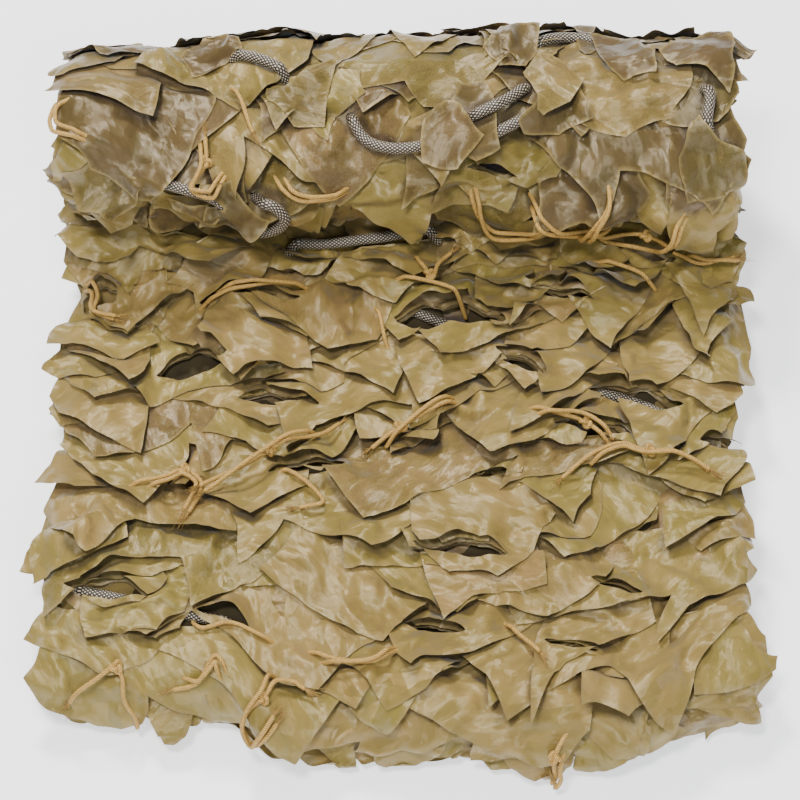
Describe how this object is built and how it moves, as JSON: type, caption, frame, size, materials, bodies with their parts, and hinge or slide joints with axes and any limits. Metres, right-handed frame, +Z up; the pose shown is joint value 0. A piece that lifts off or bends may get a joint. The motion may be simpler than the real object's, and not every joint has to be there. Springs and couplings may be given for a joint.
{
  "type": "camouflage netting",
  "caption": "Camouflage netting garnished with incised scrim cloth, folded back and forth in layers with the rest of it rolled up on their rear.",
  "frame": {"origin": "on the ground, under the middle of the folded layers", "axes": "+Z up, -Y towards the front edge of the layers, +X along the roll"},
  "size_m": [0.5349, 0.5878, 0.2173],
  "materials": {
    "net": "matte",
    "scrim": "satin",
    "twine": "matte",
    "rope": "satin"
  },
  "bodies": {
    "root": {"net_bundle": "net", "scrim_lay_1": "scrim", "scrim_lay_2": "scrim", "scrim_lay_3": "scrim", "scrim_lay_4": "scrim", "scrim_lay_5": "scrim", "scrim_lay_6": "scrim", "scrim_lay_7": "scrim", "scrim_lay_8": "scrim", "scrim_roll_1": "scrim", "scrim_roll_2": "scrim", "scrim_roll_3": "scrim", "scrim_roll_4": "scrim", "scrim_roll_5": "scrim", "scrim_roll_6": "scrim", "rope_roll_hook": "rope", "rope_crevice": "rope", "rope_roll_middle": "rope", "rope_roll_pair_a": "rope", "rope_roll_pair_b": "rope", "rope_roll_left": "rope", "rope_roll_top": "rope", "rope_roll_end": "rope", "rope_lay_middle": "rope", "rope_lay_right": "rope", "rope_lay_left": "rope", "tie_crevice_drop": "twine", "tie_crevice_cross": "twine", "tie_crevice_right": "twine", "tie_frayed_left": "twine", "tie_open_left": "twine", "tie_opening": "twine", "tie_right_band": "twine", "tie_left_pair": "twine", "tie_cross": "twine", "tie_cross_low": "twine", "tie_middle": "twine", "tie_right_fork": "twine", "tie_right_long": "twine", "tie_low_left": "twine", "tie_low_hook": "twine", "tie_low_loop": "twine", "tie_low_middle": "twine", "tie_corner": "twine", "tie_front": "twine", "tie_low_right": "twine", "tie_roll_left": "twine", "tie_roll_drop": "twine", "tie_roll_bar": "twine", "tie_roll_curl": "twine", "tie_roll_middle": "twine", "tie_roll_cross": "twine", "tie_roll_bow": "twine", "tie_roll_right": "twine"}
  },
  "joints": []
}
